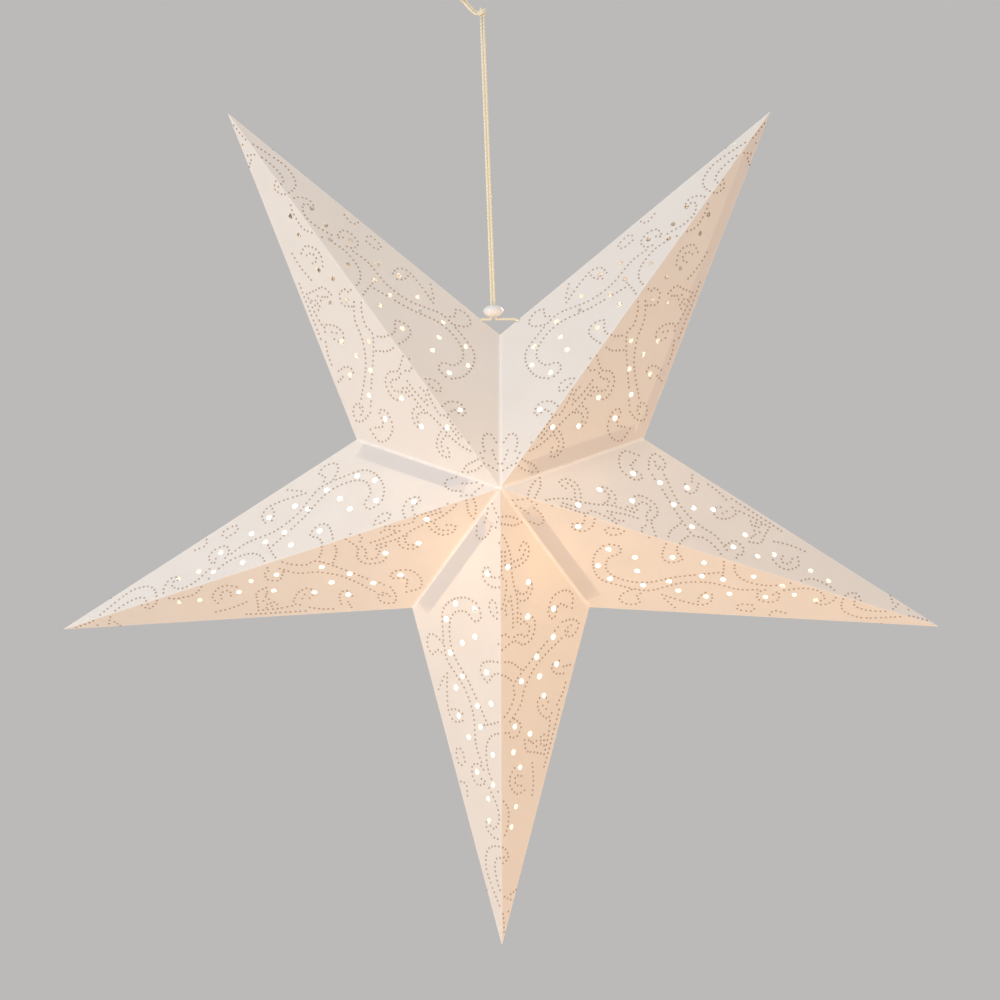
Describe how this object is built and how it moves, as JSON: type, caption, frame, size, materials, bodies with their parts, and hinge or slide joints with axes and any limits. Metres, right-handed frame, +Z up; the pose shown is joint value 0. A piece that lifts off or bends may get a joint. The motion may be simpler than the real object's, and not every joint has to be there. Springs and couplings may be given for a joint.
{
  "type": "folding paper star lantern",
  "caption": "Five-pointed folded paper star lantern on a string, with punched holes, a sliding bead at its open seam and a battery lamp hanging inside.",
  "frame": {"origin": "under the knot, where a hook or pin goes between the two strands of the string", "axes": "+X to the right as the front is seen, -Y out of the star's front, +Z up"},
  "size_m": [0.595, 0.1492, 0.6451],
  "materials": {
    "paper": "matte",
    "string": "matte",
    "bead": "gloss",
    "hook_wire": "satin",
    "lamp_plastic": "matte",
    "contact_metal": "satin",
    "cell": "satin",
    "switch": "matte",
    "board": "satin",
    "screws": "satin",
    "led": "gloss",
    "globe": "matte"
  },
  "bodies": {
    "top_knot": {"knot": "string"},
    "hanging_string": {"left_strand": "string", "right_strand": "string", "inner_span": "string"},
    "sliding_bead": {"bead": "bead"},
    "left_string_leg": {"left_leg": "string"},
    "right_string_leg": {"right_leg": "string"},
    "lamp_head": {"lamp_hook": "hook_wire", "battery_cap": "lamp_plastic", "top_contact": "contact_metal"},
    "lamp_body": {"battery_housing": "lamp_plastic", "battery_cell_1": "cell", "battery_cell_2": "cell", "battery_cell_3": "cell", "cell_springs": "contact_metal", "cell_holder": "lamp_plastic", "light_board": "board", "board_screws": "screws", "leds": "led", "globe": "globe"},
    "switch": {"switch_slider": "switch"},
    "bottom_front_left": {"bottom_point_front_left_panel": "paper"},
    "bottom_back_left": {"bottom_point_back_left_panel": "paper"},
    "right_front_right": {"right_point_front_right_panel": "paper", "right_point_front_valley_flap": "paper"},
    "right_back_right": {"right_point_back_right_panel": "paper", "right_point_rim_flap": "paper", "right_point_back_valley_flap": "paper"},
    "right_front_left": {"right_point_front_left_panel": "paper"},
    "right_back_left": {"right_point_back_left_panel": "paper"},
    "upper_right_front_right": {"upper_right_point_front_right_panel": "paper", "upper_right_point_rim_flap": "paper", "upper_right_point_front_valley_flap": "paper"},
    "upper_right_back_right": {"upper_right_point_back_right_panel": "paper", "upper_right_point_back_valley_flap": "paper"},
    "upper_right_front_left": {"upper_right_point_front_left_panel": "paper"},
    "upper_right_back_left": {"upper_right_point_back_left_panel": "paper"},
    "bottom_front_right": {"bottom_point_front_right_panel": "paper", "bottom_point_front_valley_flap": "paper"},
    "bottom_back_right": {"bottom_point_back_right_panel": "paper", "bottom_point_rim_flap": "paper", "bottom_point_back_valley_flap": "paper"},
    "left_front_left": {"left_point_front_left_panel": "paper"},
    "left_back_left": {"left_point_back_left_panel": "paper"},
    "left_front_right": {"left_point_front_right_panel": "paper", "left_point_front_valley_flap": "paper"},
    "left_back_right": {"left_point_back_right_panel": "paper", "left_point_rim_flap": "paper", "left_point_back_valley_flap": "paper"},
    "upper_left_front_left": {"upper_left_point_front_left_panel": "paper"},
    "upper_left_back_left": {"upper_left_point_back_left_panel": "paper"},
    "upper_left_front_right": {"upper_left_point_front_right_panel": "paper"},
    "upper_left_back_right": {"upper_left_point_back_right_panel": "paper", "upper_left_point_rim_flap": "paper"}
  },
  "joints": [
    {"name": "string_twist", "type": "hinge", "parent": "top_knot", "child": "hanging_string", "pos_m": [0, 0, 0], "axis": [0, 0, 1], "continuous": true},
    {"name": "bead_slide", "type": "slide", "parent": "hanging_string", "child": "sliding_bead", "axis": [-0.034, 0, 0.9994], "range_m": [0, 0.185]},
    {"name": "star_open", "type": "hinge", "parent": "hanging_string", "child": "bottom_front_left", "pos_m": [0.07455, -0.06547, -0.37734], "axis": [0.2311, -0.2393, 0.943], "range_deg": [0, 7.29]},
    {"name": "star_open_left", "type": "hinge", "parent": "hanging_string", "child": "bottom_front_right", "pos_m": [-0.05195, -0.06547, -0.37734], "axis": [0.2311, 0.2393, -0.943], "range_deg": [0, 7.29]},
    {"name": "bottom_left_rim_fold", "type": "hinge", "parent": "bottom_front_left", "child": "bottom_back_left", "pos_m": [0.07184, 0, -0.40373], "axis": [-0.2528, 0, -0.9675], "range_deg": [0, 14.16]},
    {"name": "right_right_valley_fold", "type": "hinge", "parent": "bottom_front_left", "child": "right_front_right", "pos_m": [0.0113, -0.075, -0.3204], "axis": [0.4752, 0.5886, -0.654], "range_deg": [0, 11.96]},
    {"name": "right_right_rim_fold", "type": "hinge", "parent": "right_front_right", "child": "right_back_right", "pos_m": [0.31088, 0, -0.41774], "axis": [-0.9983, 0, 0.0585], "range_deg": [0, 14.16]},
    {"name": "right_left_ridge_fold", "type": "hinge", "parent": "right_front_right", "child": "right_front_left", "pos_m": [0.0113, -0.075, -0.3204], "axis": [-0.9252, -0.2316, 0.3006], "range_deg": [0, 14.19]},
    {"name": "right_left_rim_fold", "type": "hinge", "parent": "right_front_left", "child": "right_back_left", "pos_m": [0.10926, 0, -0.28857], "axis": [0.842, 0, -0.5394], "range_deg": [0, 14.16]},
    {"name": "upper_right_right_valley_fold", "type": "hinge", "parent": "right_front_left", "child": "upper_right_front_right", "pos_m": [0.0113, -0.075, -0.3204], "axis": [0.7688, 0.5886, 0.2498], "range_deg": [0, 11.96]},
    {"name": "upper_right_right_rim_fold", "type": "hinge", "parent": "upper_right_front_right", "child": "upper_right_back_right", "pos_m": [0.19645, 0, -0.06556], "axis": [-0.3641, 0, -0.9313], "range_deg": [0, 14.16]},
    {"name": "upper_right_left_ridge_fold", "type": "hinge", "parent": "upper_right_front_right", "child": "upper_right_front_left", "pos_m": [0.0113, -0.075, -0.3204], "axis": [-0.5718, -0.2316, -0.787], "range_deg": [0, 14.19]},
    {"name": "upper_right_left_rim_fold", "type": "hinge", "parent": "upper_right_front_left", "child": "upper_right_back_left", "pos_m": [0.0113, 0, -0.2174], "axis": [0.7732, 0, 0.6341], "range_deg": [0, 14.16]},
    {"name": "bottom_right_rim_fold", "type": "hinge", "parent": "bottom_front_right", "child": "bottom_back_right", "pos_m": [-0.04924, 0, -0.40373], "axis": [-0.2528, 0, 0.9675], "range_deg": [0, 14.16]},
    {"name": "left_left_valley_fold", "type": "hinge", "parent": "bottom_front_right", "child": "left_front_left", "pos_m": [0.0113, -0.075, -0.3204], "axis": [0.4752, -0.5886, 0.654], "range_deg": [0, 11.96]},
    {"name": "left_left_rim_fold", "type": "hinge", "parent": "left_front_left", "child": "left_back_left", "pos_m": [-0.28828, 0, -0.41774], "axis": [-0.9983, 0, -0.0585], "range_deg": [0, 14.16]},
    {"name": "left_right_ridge_fold", "type": "hinge", "parent": "left_front_left", "child": "left_front_right", "pos_m": [0.0113, -0.075, -0.3204], "axis": [-0.9252, 0.2316, -0.3006], "range_deg": [0, 14.19]},
    {"name": "left_right_rim_fold", "type": "hinge", "parent": "left_front_right", "child": "left_back_right", "pos_m": [-0.08666, 0, -0.28857], "axis": [0.842, 0, 0.5394], "range_deg": [0, 14.16]},
    {"name": "upper_left_left_valley_fold", "type": "hinge", "parent": "left_front_right", "child": "upper_left_front_left", "pos_m": [0.0113, -0.075, -0.3204], "axis": [0.7688, -0.5886, -0.2498], "range_deg": [0, 11.96]},
    {"name": "upper_left_left_rim_fold", "type": "hinge", "parent": "upper_left_front_left", "child": "upper_left_back_left", "pos_m": [-0.17385, 0, -0.06556], "axis": [-0.3641, 0, 0.9313], "range_deg": [0, 14.16]},
    {"name": "upper_left_right_ridge_fold", "type": "hinge", "parent": "upper_left_front_left", "child": "upper_left_front_right", "pos_m": [0.0113, -0.075, -0.3204], "axis": [-0.5718, 0.2316, 0.787], "range_deg": [0, 14.19]},
    {"name": "upper_left_right_rim_fold", "type": "hinge", "parent": "upper_left_front_right", "child": "upper_left_back_right", "pos_m": [0.0113, 0, -0.2174], "axis": [0.7732, 0, -0.6341], "range_deg": [0, 14.16]},
    {"name": "right_leg_shift", "type": "slide", "parent": "hanging_string", "child": "right_string_leg", "axis": [0.8132, 0, -0.582], "range_m": [0, 0.02169]},
    {"name": "left_leg_shift", "type": "slide", "parent": "hanging_string", "child": "left_string_leg", "axis": [-0.8132, 0, -0.582], "range_m": [0, 0.02169]},
    {"name": "lamp_swing", "type": "hinge", "parent": "hanging_string", "child": "lamp_head", "pos_m": [0.0113, 0, -0.2264], "axis": [1, 0, 0], "range_deg": [-5, 5]},
    {"name": "lamp_twist", "type": "hinge", "parent": "lamp_head", "child": "lamp_body", "pos_m": [0.0113, 0, -0.2684], "axis": [0, 0, 1], "range_deg": [0, 25]},
    {"name": "switch_slide", "type": "slide", "parent": "lamp_body", "child": "switch", "axis": [0, 0, 1], "range_m": [0, 0.004]}
  ],
  "couplings": [
    {"joint": "star_open_left", "follows": "star_open", "ratio": 1},
    {"joint": "bottom_left_rim_fold", "follows": "star_open", "ratio": 1.9418},
    {"joint": "right_right_valley_fold", "follows": "star_open", "ratio": 1.6401},
    {"joint": "right_right_rim_fold", "follows": "star_open", "ratio": 1.9418},
    {"joint": "right_left_ridge_fold", "follows": "star_open", "ratio": 1.9458},
    {"joint": "right_left_rim_fold", "follows": "star_open", "ratio": 1.9418},
    {"joint": "upper_right_right_valley_fold", "follows": "star_open", "ratio": 1.6401},
    {"joint": "upper_right_right_rim_fold", "follows": "star_open", "ratio": 1.9418},
    {"joint": "upper_right_left_ridge_fold", "follows": "star_open", "ratio": 1.9458},
    {"joint": "upper_right_left_rim_fold", "follows": "star_open", "ratio": 1.9418},
    {"joint": "bottom_right_rim_fold", "follows": "star_open", "ratio": 1.9418},
    {"joint": "left_left_valley_fold", "follows": "star_open", "ratio": 1.6401},
    {"joint": "left_left_rim_fold", "follows": "star_open", "ratio": 1.9418},
    {"joint": "left_right_ridge_fold", "follows": "star_open", "ratio": 1.9458},
    {"joint": "left_right_rim_fold", "follows": "star_open", "ratio": 1.9418},
    {"joint": "upper_left_left_valley_fold", "follows": "star_open", "ratio": 1.6401},
    {"joint": "upper_left_left_rim_fold", "follows": "star_open", "ratio": 1.9418},
    {"joint": "upper_left_right_ridge_fold", "follows": "star_open", "ratio": 1.9458},
    {"joint": "upper_left_right_rim_fold", "follows": "star_open", "ratio": 1.9418},
    {"joint": "right_leg_shift", "follows": "star_open", "m_per_rad": 0.17036},
    {"joint": "left_leg_shift", "follows": "star_open", "m_per_rad": 0.17036}
  ]
}
